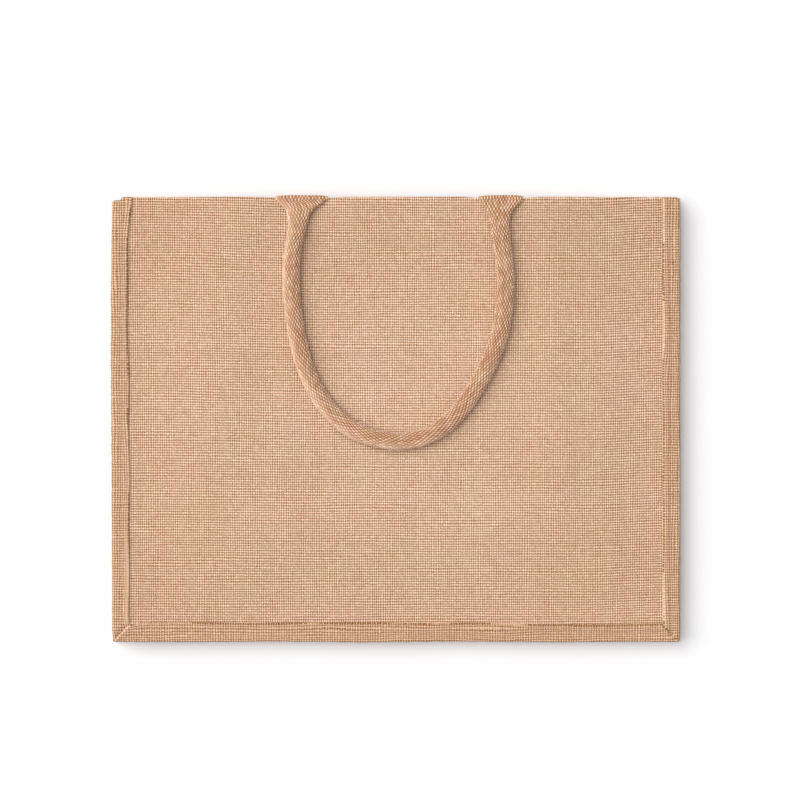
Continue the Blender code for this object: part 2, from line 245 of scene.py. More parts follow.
class Wire:
    """An output of one of a material's nodes. Operators on it add Math nodes."""

    def __init__(self, finish, socket):
        self.finish, self.socket = finish, socket

    def math(self, operation, *others):
        settings = {"operation": operation}
        return self.finish.node("ShaderNodeMath", settings, enumerate((self, *others)))

    def from_left(self, operation, other):
        settings = {"operation": operation}
        return self.finish.node("ShaderNodeMath", settings, {0: other, 1: self}.items())

    def __add__(self, other):
        return self.math("ADD", other)

    def __mul__(self, other):
        return self.math("MULTIPLY", other)

    def __sub__(self, other):
        return self.math("SUBTRACT", other)

    def __truediv__(self, other):
        return self.math("DIVIDE", other)

    def __rsub__(self, other):
        return self.from_left("SUBTRACT", other)

    def __rtruediv__(self, other):
        return self.from_left("DIVIDE", other)

    __radd__, __rmul__ = __add__, __mul__

    def __pow__(self, other):
        return self.math("POWER", other)

    def other(self, name):
        """Another output of the same node."""
        return Wire(self.finish, self.socket.node.outputs[name])


class Finish:
    """A material whose nodes are added one by one."""

    def __init__(self, name):
        self.material = bpy.data.materials.new(name)
        self.material.use_nodes = True
        self.tree = self.material.node_tree
        self.shader = self.tree.nodes["Principled BSDF"]

    def join(self, target, value):
        """Links a wire to a socket, or sets the socket to a plain value."""
        if isinstance(value, Wire):
            self.tree.links.new(value.socket, target)
        else:
            target.default_value = value

    def node(self, kind, settings, sockets, output=0):
        """Any node: its settings first, then its sockets by name or number."""
        made = self.tree.nodes.new(kind)
        for name, value in settings.items():
            setattr(made, name, value)
        for name, value in sockets:
            self.join(made.inputs[name], value)
        return Wire(self, made.outputs[output])

    def noise(self, vector, scale, detail=2.0, rough=0.5):
        """A value around 0 from a smooth noise at a place given as a vector."""
        sockets = {"Vector": vector, "Scale": scale, "Detail": detail, "Roughness": rough}
        return self.node("ShaderNodeTexNoise", {}, sockets.items()) - 0.5

    def chance(self, x, y=0.0):
        """A random value from 0 to 1 for each pair of whole numbers."""
        vector = self.vector(x, y, 0.0)
        settings = {"noise_dimensions": "2D"}
        return self.node("ShaderNodeTexWhiteNoise", settings, {"Vector": vector}.items())

    def vector(self, x, y, z):
        return self.node("ShaderNodeCombineXYZ", {}, enumerate((x, y, z)))

    def smooth(self, value, low, high):
        """A smooth step from 0 at low to 1 at high."""
        settings = {"interpolation_type": "SMOOTHSTEP"}
        sockets = {"Value": value, "From Min": low, "From Max": high}
        return self.node("ShaderNodeMapRange", settings, sockets.items())

    def blend(self, factor, first, second, how="MIX"):
        """Two colours mixed."""
        settings = {"data_type": "RGBA", "blend_type": how}
        sockets = {0: factor, 6: first, 7: second}
        return self.node("ShaderNodeMix", settings, sockets.items(), 2)

    def shaded(self, tint, value):
        """A colour made lighter or darker by the value, and warmer where it is darker: where
        the darkness is painted shade, this paints in the warm light bounced among the fibres.
        """
        steps = self.vector(value, value ** 1.40, value ** 2.0)
        return self.blend(1.0, tint, steps, "MULTIPLY")

    def dress(self, colour, height, relief, roughness):
        """Wires the colour, the relief in metres and the roughness to the shader."""
        sockets = {"Height": height, "Distance": relief, "Strength": 1.0}
        normal = self.node("ShaderNodeBump", {}, sockets.items())
        self.join(self.shader.inputs["Base Color"], colour)
        self.join(self.shader.inputs["Normal"], normal)
        self.join(self.shader.inputs["Roughness"], roughness)
        self.shader.inputs["Specular IOR Level"].default_value = FAINT_GLOSS
        return self.material


def burlap_finish(name, tone=1.0, folded=0.0):
    """Plain-woven jute: uneven threads both ways with small gaps between them. The gaps, the
    threads' flanks and the places where they dip under are painted dark, as shade. Threads
    differ in width and tone, and patches lean pink or straw. On a folded strip the cloth is
    double out to the given distance from its fold, which closes the gaps at the lower ends of
    the sides. The fold has a painted highlight at the sides and a painted shade line at the
    bottom, and the 45-degree mitre has a painted highlight."""
    finish = Finish(name)
    place = finish.node("ShaderNodeUVMap", {"uv_map": "cloth"}, ())
    axes = finish.node("ShaderNodeSeparateXYZ", {}, {0: place}.items())
    u, v = axes, axes.other("Y")
    # The threads' own paths: drift moves long stretches of a thread, jitter short ones. On
    # a folded strip the warps drift more.
    drift_u = finish.noise(finish.vector(u, v * 0.12, 0.0), 95.0)
    drift_v = finish.noise(finish.vector(u * 0.12, v, 7.0), 85.0)
    jitter_u = finish.noise(finish.vector(u, v, 11.0), 380.0, 1.0)
    jitter_v = finish.noise(finish.vector(u, v, 17.0), 380.0, 1.0)
    drift, jitter = 1.4, 0.36
    s = u / (WARP_PITCH * MM) + drift_u * (3.4 if folded else drift) + jitter_u * jitter
    t = v / (WEFT_PITCH * MM) + drift_v * drift + jitter_v * jitter
    # Warp i and weft j, and how far across each of them a point lies.
    i, j = s.math("FLOOR"), t.math("FLOOR")
    f, g = s - i - 0.5, t - j - 0.5
    # Each thread's half width is its own, with thicker and thinner stretches along it.
    slub_i = finish.noise(finish.vector(i * 0.37, v * 160.0, 3.0), 1.0, 3.0)
    slub_j = finish.noise(finish.vector(u * 160.0, j * 0.37, 5.0), 1.0, 3.0)
    half_i = 0.282 + finish.chance(i, 11.0) * 0.03 + slub_i * 0.08
    half_j = 0.292 + finish.chance(j, 29.0) * 0.03 + slub_j * 0.08
    # Each thread is round across, and rises and dips as it goes over and under.
    crown, wave, base = 0.38, 0.34, 0.28
    round_i = (1.0 - (f / half_i) ** 2.0).math("MAXIMUM", 0.0)
    round_j = (1.0 - (g / half_j) ** 2.0).math("MAXIMUM", 0.0)
    sign_i = 1.0 - i.math("FLOORED_MODULO", 2.0) * 2.0
    sign_j = 1.0 - j.math("FLOORED_MODULO", 2.0) * 2.0
    over_i = sign_i * (t * math.pi).math("SINE")
    over_j = sign_j * (s * math.pi).math("SINE")
    top_i = (round_i ** 0.6 * crown + over_i * wave + base) * finish.smooth(round_i, 0.0, 0.2)
    top_j = (round_j ** 0.6 * crown - over_j * wave + base) * finish.smooth(round_j, 0.0, 0.2)
    height = top_i.math("MAXIMUM", top_j)
    is_i = top_i.math("GREATER_THAN", top_j)
    # Shades: of the fibres, of each thread and crossing, and of larger patches.
    fibre_i = finish.noise(finish.vector(u * 5200.0, v * 900.0, 1.0), 1.0, 3.0, 0.6)
    fibre_j = finish.noise(finish.vector(u * 900.0, v * 5200.0, 2.0), 1.0, 3.0, 0.6)
    shade_i = finish.chance(i, 41.0) * 0.03 + fibre_i * 0.34 + slub_i * 0.07
    shade_j = finish.chance(j, 53.0) * 0.03 + fibre_j * 0.34 + slub_j * 0.07
    shade = is_i * shade_i + (1.0 - is_i) * shade_j
    knot = finish.chance(i + 0.5, j + 0.5)
    patch = finish.noise(finish.vector(u, v, 0.4), 60.0, 3.0)
    hue = finish.noise(finish.vector(u, v, 6.1), 22.0, 2.0)
    broad = finish.noise(finish.vector(u, v, 2.4), 11.0, 2.0)
    # Painted shade: the lower a point of a thread lies, the darker it is.
    value = 0.79 + height * 0.16 + shade + knot * 0.08 + broad * 0.10 + patch * 0.05
    # Painted shade: an open panel is darker towards its sides, rim and bottom, where it
    # curves down.
    if not folded:
        across, up = u / (EDGE_SHADE_REACH[0] * MM), v / (EDGE_SHADE_REACH[1] * MM)
        value = value - across ** 2.0 * 0.05 - up ** 2.0 * 0.04
    value = value * tone
    tint = finish.blend(finish.smooth(hue, -0.14, 0.14), PINK_JUTE, STRAW_JUTE)
    # Painted shade: the gaps, where the inside of the bag shows, and the threads' flanks and
    # dips are darker.
    recess_shade = finish.smooth(height + knot * 0.08, 0.06, 0.98) * 0.73 + 0.27
    if folded:
        # Where it is double the gaps are closed, for an uneven way in from the fold.
        come_and_go = finish.noise(finish.vector(0.0, v, 5.0), 55.0, 3.0)
        edge = folded * MM * (0.95 + come_and_go * 1.0)
        double = 1.0 - finish.smooth(u, edge * 0.7, edge * 1.15)
        closed_below, open_above = LOOSE_FROM[0] * MM, LOOSE_FROM[1] * MM
        height_up = v + come_and_go * 0.12
        double = double * (1.0 - finish.smooth(height_up, closed_below, open_above))
        # The fold at 45 degrees, where the bottom run lies over the left one: its gaps are
        # closed, and it has a painted highlight.
        from_mitre = (v + u - MITRE_AT * MM).math("ABSOLUTE")
        mitre = 1.0 - finish.smooth(from_mitre, 0.5 * MM, 1.5 * MM)
        double = double.math("MAXIMUM", mitre)
        recess_shade = recess_shade + (1.0 - recess_shade) * (0.10 + double * 0.62)
        value = value + (0.80 - value) * double * 0.7 + mitre * 0.14
        after_left, before_right = RUN_APART * MM * 0.5, RUN_APART * MM * 1.5
        bottom_run = v.math("GREATER_THAN", after_left) * v.math("LESS_THAN", before_right)
        # Painted light along the fold: a painted highlight on the side runs' folds, and a
        # painted shade line on the bottom run's fold.
        painted_fold_line = 1.0 - finish.smooth(u, 0.3 * MM, 1.5 * MM)
        value = value * (1.0 + painted_fold_line * (0.09 - bottom_run * 0.17))
    colour = finish.shaded(tint, value * recess_shade)
    return finish.dress(colour, height + shade * 0.10, BURLAP_RELIEF * MM, BURLAP_ROUGHNESS)


burlap = burlap_finish("natural_burlap")

hem_side = WIDTH / 2 - HEM_INSET
seam_side, margin_side = WIDTH / 2 - SEAM_INSET, WIDTH / 2 - FLAT_INSET
fold_turns = np.radians(np.linspace(0.0, 180.0, FOLD_ROWS))


def rim_cut(x):
    """1 where the layers under the left strip's outer half are cut lower, or else 0."""
    return 1.0 - ramp(x, -WIDTH / 2 + RIM_CUT_INSETS[0], -WIDTH / 2 + RIM_CUT_INSETS[1])


def lay_panel(name, side, under, step):
    """A panel, front (side 1) or back (side -1), with its hem turned inside."""
    sides = (hem_side, margin_side, seam_side)
    columns = spread(*(-x for x in sides[::-1]), *sides, step=step)
    edge = int(np.searchsorted(columns, -hem_side + 0.01)) - 1
    low = BOTTOM_Y + SEAM_INSET
    cut = RIM_Y - HEM_DEPTH
    rises = (cut - HEM_RISE[0], cut - HEM_RISE[1])
    levels = spread(low, BOTTOM_Y + FLAT_INSET, *rises, RIM_Y - RIM_ROW, step=step)
    inward = spread(0.0, HEM_DEPTH, step=HEM_GRID_STEP)[1:]
    level = np.concatenate([levels, np.zeros(len(fold_turns)), inward])
    turn = np.concatenate([0.0 * levels, fold_turns, math.pi + 0.0 * inward])
    first, quarter = len(levels), (len(fold_turns) - 1) // 2

    def place(column, row):
        x = columns[column]
        fold_y = rim_of(x) - HEM_FOLD - CLOTH / 2
        y = np.where(row < first, level[row], fold_y - level[row])
        z = under(x, np.minimum(y, fold_y)) + CLOTH / 2
        z = z - side * HEM_FOLD * (1.0 - np.cos(turn[row]))
        along = np.where(row < first, level[row], fold_y + HEM_FOLD * turn[row] + level[row])
        y = y + HEM_FOLD * np.sin(turn[row])
        # Beside the hem the cloth isn't turned in, and goes straight up to the rim.
        plain = (np.abs(x) > hem_side + 0.01) & (row >= first)
        upright = fold_y + (RIM_Y - fold_y) * (row - first) / quarter
        cut_low = RIM_Y - RIM_ROW + (RIM_ROW - RIM_CUT) * (row - first + 1) / (quarter + 1)
        y = np.where(plain, upright + (cut_low - upright) * rim_cut(x), y)
        z = np.where(plain, under(x, fold_y) + CLOTH / 2, z)
        bow = 0.0
        for facing, (middle, growth, near, far) in ((-1.0, LEFT_BOW), (1.0, RIGHT_BOW)):
            bow = bow + (middle + growth * y) * ramp(facing * x, near, far)
        across = x * (1.0 - WARP_SPREAD * ramp(y, *SPREAD_RISE))
        return x, y, z, across, along - bow

    def beside_hem(column, row):
        outside = not edge <= column < len(columns) - 1 - edge
        return outside and row >= first + quarter

    panel = new_cloth(f"{name}_cloth", len(columns) - 1, len(level) - 1, place, beside_hem)
    thicken(panel, CLOTH)
    panel.data.materials.append(burlap)
    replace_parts(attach(panel, "root"), name)
    return panel


# The handle's middle line in plan: x, and the distance below the rim.
HANDLE_LINE = (
    (-69.9, 0.0),
    (-72.3, 12.0),
    (-73.4, 24.0),
    (-76.6, 40.0),
    (-77.6, 61.0),
    (-76.3, 83.0),
    (-72.6, 106.0),
    (-65.8, 130.0),
    (-53.0, 153.0),
    (-33.5, 171.3),
    (-8.0, 179.7),
    (17.5, 178.2),
    (38.5, 166.0),
    (54.0, 147.5),
    (67.5, 124.0),
    (77.0, 98.0),
    (80.4, 68.0),
    (79.0, 44.0),
    (76.2, 22.0),
    (76.2, 10.0),
    (77.3, 0.0),
)


def smooth_line(points, steps):
    """A Catmull-Rom curve through the points, as an array of x and y."""
    known = np.array(points)
    knots = np.vstack([2 * known[0] - known[1], known, 2 * known[-1] - known[-2]])
    share = (np.arange(steps) / steps)[:, None]
    line = []
    for before, here, there, after in zip(knots, knots[1:], knots[2:], knots[3:]):
        bend = 2 * before - 5 * here + 4 * there - after
        twist = 3 * here - before - 3 * there + after
        pull = (there - before) * share + bend * share**2 + twist * share**3
        line.append(here + 0.5 * pull)
    return np.vstack(line + [known[-1]])


line = smooth_line([(x, RIM_Y - down) for x, down in HANDLE_LINE], 8)
line_at = np.concatenate([[0.0], np.cumsum(np.hypot(*np.diff(line, axis=0).T))])


def line_distance(x, y):
    """Distance in plan from the handle's middle line."""
    starts, runs = line[:-1], np.diff(line, axis=0)
    nearest = np.full(np.shape(x), np.inf)
    for (start_x, start_y), (run_x, run_y) in zip(starts, runs):
        along = ((x - start_x) * run_x + (y - start_y) * run_y) / (run_x**2 + run_y**2)
        share = np.clip(along, 0.0, 1.0)
        away = np.hypot(x - start_x - run_x * share, y - start_y - run_y * share)
        nearest = np.minimum(nearest, away)
    return nearest


# Soft troughs and ridges in the front: one end, the other end, half width and height.
CREASES = (
    ((-196.0, -148.0), (-132.0, -92.0), 17.0, -1.0),
    ((-132.0, -92.0), (-98.0, 28.0), 26.0, -0.9),
    ((116.0, 66.0), (121.0, -48.0), 16.0, 0.8),
    ((-24.0, -34.0), (-21.0, -122.0), 15.0, -0.6),
    ((150.0, 118.0), (96.0, 146.0), 15.0, -0.5),
    ((30.0, -92.0), (150.0, -128.0), 20.0, 0.7),
    ((-176.0, 96.0), (-120.0, 132.0), 16.0, 0.6),
    ((-30.0, 62.0), (36.0, 40.0), 24.0, 0.7),
)
UNEVEN, UNEVEN_SEED, UNEVEN_SIZE = 0.14, 3, 34.0
CREASED_INSET = 34.0
HELD_FLAT, HELD_REACH = 0.85, (9.0, 26.0)  # the handle's weight flattens the cloth below it


def front_relief(x, y):
    """The underside with the cloth's own creases and small unevenness, flat at the seams."""
    height = UNEVEN * waves(x, y, UNEVEN_SEED, UNEVEN_SIZE)
    for (start_x, start_y), (end_x, end_y), reach, rise in CREASES:
        run_x, run_y = end_x - start_x, end_y - start_y
        share = ((x - start_x) * run_x + (y - start_y) * run_y) / (run_x**2 + run_y**2)
        share = np.clip(share, 0.0, 1.0)
        away = np.hypot(x - start_x - share * run_x, y - start_y - share * run_y)
        height = height + rise * swell(away, 0.0, reach)
    held = 1.0 - HELD_FLAT * (1.0 - ramp(line_distance(x, y), *HELD_REACH))
    return front_under(x, y) + held * ramp(inset_of(x, y), FLAT_INSET, CREASED_INSET) * height


front_panel = lay_panel("front_panel", 1.0, front_relief, GRID_STEP)

# ---- Back panel -------------------------------------------------------------------------
# The same piece again for the back, which the bag lies on. The back handle lies under it
# and holds it off the ground in a long low tent, and it is on the ground everywhere else.
BACK_EDGE, EDGE_INSET = 1.3, 30.0
TUBE_HEIGHT, TENT_GAP, TENT_REACH, TENT_RIM, TENT_RISE = 10.0, 1.2, 52.0, 7.5, (2.0, 26.0)
ROOT_FLAT, ROOT_NARROWS = 22.0, (8.0, 30.0)
LOOP_LIFT, LOOP_X, LOOP_Y = 5.8, (42.0, 80.0), (-16.0, 34.0)
BACK_GRID_STEP = 2.6


def tent_height(y):
    """The back panel's underside on the handle's middle line."""
    crest = TUBE_HEIGHT + TENT_GAP
    return TENT_RIM + (crest - TENT_RIM) * ramp(RIM_Y - y, *TENT_RISE)


def back_under(x, y):
    """Underside of the back panel: on the ground, or held up by the handle below it."""
    flat = ROOT_FLAT * (1.0 - ramp(RIM_Y - y, *ROOT_NARROWS))
    away = np.maximum(line_distance(x, y) - flat, 0.0)
    tent = 1.0 - ramp(away, 0.0, TENT_REACH)
    inside = (1.0 - ramp(np.abs(x), *LOOP_X)) * ramp(y, *LOOP_Y)
    edge = BACK_EDGE * (1.0 - ramp(inset_of(x, y), FLAT_INSET, EDGE_INSET))
    return edge + tent * tent_height(y) + (1.0 - tent) * inside * LOOP_LIFT


back_panel = lay_panel("back_panel", -1.0, back_under, BACK_GRID_STEP)

# ---- Gusset -----------------------------------------------------------------------------
# One long strip of the same burlap joins the panels down both sides and along the bottom.
# With the bag flat it folds inwards along its middle, and lies between the two panels.
FOLD_REACH, LEAF_SLACK, SLACK_INSET, LEAF_HEM_RISE = 6.5, 1.2, 30.0, (18.0, 5.0)
GUSSET_STEP, GUSSET_FOLD_COLUMNS = 4.0, 9
NEAR_CORNER, GUSSET_LEFT_HIGHER = 6.0, 0.8
BINDING_WIDTH = 12.6
CORNER = 0.0004  # a corner's two rows are this far from its mitre, as a share of a side


def strip_stations(step, fine=None):
    """Stations along a strip: 0 to 1 is the left side, to 2 the bottom, to 3 the right.
    The rows may be finer just before a corner."""
    near = (NEAR_CORNER if fine else step) / HEIGHT
    rows = np.linspace(1.0 - near, 1.0 - CORNER, round(NEAR_CORNER / fine) if fine else 2)
    side = np.concatenate([spread(0.0, 1.0 - near, step=step / HEIGHT)[:-1], rows])
    low, high = 2.0 - rows[::-1], 1.0 + rows
    middle = spread(low[-1], high[0], step=step / WIDTH)[1:-1]
    return np.concatenate([side, low, middle, high, 3.0 - side[::-1]])


def strip_place(inset, station, top):
    """A strip's point in plan and its distance along the cloth, mitred at the corners."""
    left, bottom = -WIDTH / 2 + inset, BOTTOM_Y + inset
    leg, base = station <= 1.0, (station > 1.0) & (station <= 2.0)
    x = np.where(leg, left, np.where(base, left - 2 * left * (station - 1.0), -left))
    down = np.where(leg, station, np.where(base, 1.0, 3.0 - station))
    y = top + (bottom - top) * down
    return x, y, np.where(base, x, y)


def leaf_clearance(x, y):
    """Room between a panel and the gusset leaf beside it, the hem's layer included."""
    inset = inset_of(x, y)
    slack = LEAF_SLACK * ramp(inset, BINDING_WIDTH, SLACK_INSET)
    cut = RIM_Y - HEM_DEPTH
    hem = ramp(y, cut - LEAF_HEM_RISE[0], cut - LEAF_HEM_RISE[1])
    layer = (CLOTH + GAP) * hem * ramp(inset, FLAT_INSET + 0.5, HEM_INSET)
    return GAP + slack + layer


reach = GUSSET_DEPTH - FOLD_REACH
leaf = spread(SEAM_INSET, BINDING_WIDTH, HEM_INSET, reach, step=GUSSET_STEP)
fold = np.linspace(-90.0, 90.0, GUSSET_FOLD_COLUMNS)[1:-1]
section_inset = np.concatenate([leaf, reach + 0.0 * fold, leaf[::-1]])
section_turn = np.radians(np.concatenate([0.0 * leaf - 90.0, fold, 0.0 * leaf + 90.0]))
section_flat = np.concatenate(
    [leaf, reach + FOLD_REACH * (section_turn[len(leaf) : -len(leaf)] + math.pi / 2)]
    + [2 * reach + FOLD_REACH * math.pi - leaf[::-1]]
)
gusset_stations = strip_stations(GUSSET_STEP)


def place_gusset(column, row):
    inset, turn = section_inset[column], section_turn[column]
    station = gusset_stations[row]
    cut = (RIM_CUT - GUSSET_LEFT_HIGHER) * rim_cut(inset - WIDTH / 2)
    top = RIM_Y - CLOTH - cut * (station < 1.0)
    x, y, _ = strip_place(inset, station, top)
    clear = leaf_clearance(x, y) + CLOTH / 2
    low = back_under(x, y) + CLOTH + clear
    high = front_under(x, y) - clear
    z = (low + high) / 2 + (high - low) / 2 * np.sin(turn)
    x, y, along = strip_place(inset + FOLD_REACH * np.cos(turn), station, top)
    return x, y, z, section_flat[column], along


gusset = new_cloth(
    "gusset_cloth", len(section_inset) - 1, len(gusset_stations) - 1, place_gusset
)
thicken(gusset, CLOTH)
gusset.data.materials.append(burlap)
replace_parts(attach(gusset, "root"), "gusset")

# ---- Bindings ---------------------------------------------------------------------------
# Narrow strips of burlap folded round each seam, where a panel and the gusset are sewn
# together. Their edges are turned under and sewn down, and at the bottom corners the strip
# is folded over itself at 45 degrees.
BINDING = 1.0
INNER_LEAF, TURNED_UNDER = 11.8, 3.6
FOLD_RADIUS, UNDER_LIFT = 0.52, 0.56
BINDING_STEP, MITRE_STEP = 2.2, 0.45
# How much wider the strip is in places: the left run all along, at mid height and at the
# rim, and the bottom run on its left. And how far its outer edge bulges on the left.
LEFT_RUN, LEFT_MIDDLE, LEFT_RIM, BOTTOM_RUN = -0.7, -1.3, 3.1, 1.3
LEFT_BULGE = (0.55, 0.95)
# Heights of the runs at the mitres: how much the one above rises and the one below sinks.
LEFT_MITRE, RIGHT_MITRE, MITRE_GAPE = (1.4, 1.25), (1.0, 1.2), 1.2
folded_burlap = burlap_finish("natural_burlap_folded", tone=0.855, folded=2.3)


def bell(distance, reach):
    """1 at no distance, falling softly to nearly 0 at twice the reach."""
    return np.exp(-((distance / reach) ** 2))


def lay_binding(name, side):
    """The strip round the seam of the front (side 1) or the back (side -1) panel."""
    face = FRONT_EDGE + CLOTH if side > 0 else BACK_EDGE
    outer = face + side * (GAP + BINDING / 2)
    inner = face - side * (2 * CLOTH + 2 * GAP + BINDING / 2)
    radius = abs(outer - inner) / 2
    centre = BINDING / 2 + radius
    crease = BINDING_WIDTH - FOLD_RADIUS
    under = np.linspace(BINDING_WIDTH - TURNED_UNDER, crease, 4)
    over = np.linspace(crease, centre, 18)
    inside = np.linspace(centre, INNER_LEAF, 7)
    edge_turn = np.radians(np.linspace(-90.0, 90.0, 7))[1:-1]
    turn = np.radians(np.linspace(90.0, -90.0, 11))[1:-1]
    zero = [0.0 * part for part in (under, edge_turn, over, turn, inside)]
    inset_at = np.concatenate(
        [under, crease + FOLD_RADIUS * np.cos(edge_turn), over]
        + [centre - radius * np.cos(turn), inside]
    )
    # Height over the panel's face where the strip lies on it. It is double next to its
    # fold and single beyond. Where it wraps round the seam it has a height of its own.
    lift_at = UNDER_LIFT + FOLD_RADIUS + np.concatenate(
        [zero[0] - FOLD_RADIUS, FOLD_RADIUS * np.sin(edge_turn), zero[2] + FOLD_RADIUS]
        + [zero[3], zero[4]]
    )
    double_from = BINDING_WIDTH - TURNED_UNDER
    single = 1.0 - ramp(over, double_from - 1.6, double_from + 0.6)
    flat_lift = GAP + BINDING / 2
    start = len(under) + len(edge_turn)
    upper = slice(start, start + len(over))
    lift_at[upper] += (flat_lift - lift_at[upper]) * single
    wrap_turn = np.concatenate([np.concatenate(zero[:3]) + math.pi / 2, turn])
    wrap_z = (outer + inner) / 2 + side * radius * np.sin(wrap_turn)
    wrap_z = np.concatenate([wrap_z, zero[4] + inner])
    on_face = np.arange(len(inset_at)) < start + len(over)
    on_top = on_face & (np.arange(len(inset_at)) >= len(under))
    wrapped = crease - centre + radius * (math.pi / 2 - turn)
    flat_at = np.concatenate(
        [crease - under, zero[1], crease - over, wrapped]
        + [crease - centre + radius * math.pi + inside - centre]
    )
    stations = strip_stations(BINDING_STEP, fine=MITRE_STEP)

    def place(column, row):
        station, inset = stations[row], inset_at[column]
        x, y, along = strip_place(inset, station, RIM_Y)
        base = (station > 1.0) & (station <= 2.0)
        # Distances along the strip from the left and the right mitre.
        left = np.abs(station - 1.0) * np.where(station > 1.0, WIDTH, HEIGHT)
        right = np.abs(station - 2.0) * np.where(station > 2.0, HEIGHT, WIDTH)
        leg = (x < 0) & ~base
        # The left run is narrow at mid height and widens to the rim, and the bottom one
        # is wider on the left. They are equally wide at the mitres.
        wider = LEFT_RUN + LEFT_MIDDLE * swell(y, 115.0, 170.0)
        wider = wider + LEFT_RIM * ramp(y, 128.0, 166.0)
        wider = leg * wider + base * BOTTOM_RUN * (1.0 - ramp(x, 40.0, 110.0))
        uneven = 0.26 * waves(along, 40.0 * base, 17 + int(side), 30.0)
        mitred = ramp(np.minimum(left, right), 1.0, 9.0)
        width = (uneven + wider * mitred) * ramp(inset, 6.0, BINDING_WIDTH - 1.5)
        # The outer edge wavers, bulges on the left and is rounded off at the corners.
        edge = 0.22 * waves(along, 60.0 * base, 23 + int(side), 50.0)
        bulge = LEFT_BULGE[0] + LEFT_BULGE[1] * swell(y, 50.0, 130.0)
        edge = edge - leg * bulge * ramp(left, 0.0, 9.0)
        edge = edge + 0.10 * waves(along, 60.0 * base, 31, 5.0)
        edge = edge + 0.15 * bell(left, 1.4) + 0.35 * bell(right, 1.4)
        edge = edge * (1.0 - ramp(inset, 0.0, 5.0))
        # At the rim it stops short of the panel, the left run's outer half the most.
        short = (x < 0) * 2.3 * (1.0 - ramp(inset, 6.0, 7.2)) + (x > 0) * 0.8
        corner = (1.3 * (x < 0) + 0.15) * bell(inset, 1.3)
        x, y, along = strip_place(inset + width + edge, station, RIM_Y - short - corner)
        lift = lift_at[column] + 0.10 * waves(along, inset * 0.6, 41, 16.0) * on_top[column]
        # At each mitre one run lies over the other: the bottom one over the left one, and
        # the right one over the bottom one, where the fold gapes a little.
        lip = 1.0 - 0.75 * bell(left, 1.3)
        step = LEFT_MITRE[0] * np.exp(-left / 5.0) * lip * (station > 1.0)
        step = step * ramp(inset, 0.5, 4.5)
        step = step - LEFT_MITRE[1] * bell(left, 3.6) * (station < 1.0)
        step = step + RIGHT_MITRE[0] * np.exp(-right / 3.5) * (station > 2.0)
        step = step - RIGHT_MITRE[1] * bell(right, 2.0) * (station < 2.0)
        gape = MITRE_GAPE * bell(right, 2.2) * swell(inset, 5.0, 4.0)
        lift = lift + (step * ramp(inset, 0.5, 2.5) - gape) * on_top[column]
        if side < 0:  # the back's strip is pressed flat between the bag and the ground
            lift = np.minimum(lift, face - BINDING / 2)
        z = np.where(on_face[column], face + side * lift, wrap_z[column])
        # The three runs are set apart from each other on the cloth's flat map.
        run = base + 2.0 * (station > 2.0)
        return x, y, z, flat_at[column], along + RUN_APART * run

    binding = new_cloth(f"{name}_strip", len(inset_at) - 1, len(stations) - 1, place)
    thicken(binding, BINDING)
    binding.data.materials.append(folded_burlap)
    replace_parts(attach(binding, "root"), name)


lay_binding("front_binding", 1.0)
lay_binding("back_binding", -1.0)

# ---- Handles ----------------------------------------------------------------------------
# Jute webbing 40 mm wide. Its flat ends are sewn inside the rim and come over it, and
# between them it is rolled into a tube with its edges meeting outside or underneath. Thick
# warps cross the wefts one over one under, so it is covered in staggered beads.
WEBBING, WEBBING_GAP, TUBE_WIDTH, TUBE_GAP = 1.5, 0.5, 12.7, 0.6
WEBBING_WIDTH = 40.0
WARPS, ROW_PITCH, SELVAGE = 32, 2.3, 1.9
TAB_LENGTH = 30.0
BEAD = 0.66
PINK_WEB, STRAW_WEB = (0.905, 0.625, 0.50, 1.0), (0.88, 0.66, 0.50, 1.0)
WEB_RELIEF, WEB_ROUGHNESS = 0.25, 0.92
WORN, ROOT_END = 4.6, (55.0, 80.0)  # rubbed flat this near the outer selvage, past the root
# Past the loop's low point the webbing turns round the tube, and its selvage goes under.
ROLLS_UNDER = (268.0, 318.0)
SLANT, SLANT_FROM = 0.20, (20.0, 60.0)  # the wefts lie a little askew round the tube
# How the webbing rolls up: distance from the rim, share of the way, and height.
FUNNEL_START, TURNING = 2.7, (4.0, 34.0)
FUNNEL = (
    (2.0, 0.04, 1.5),
    (5.0, 0.25, 3.4),
    (9.5, 0.66, 5.9),
    (14.5, 0.86, 7.8),
    (21.0, 0.96, 9.4),
    (32.0, 1.00, 10.0),
)


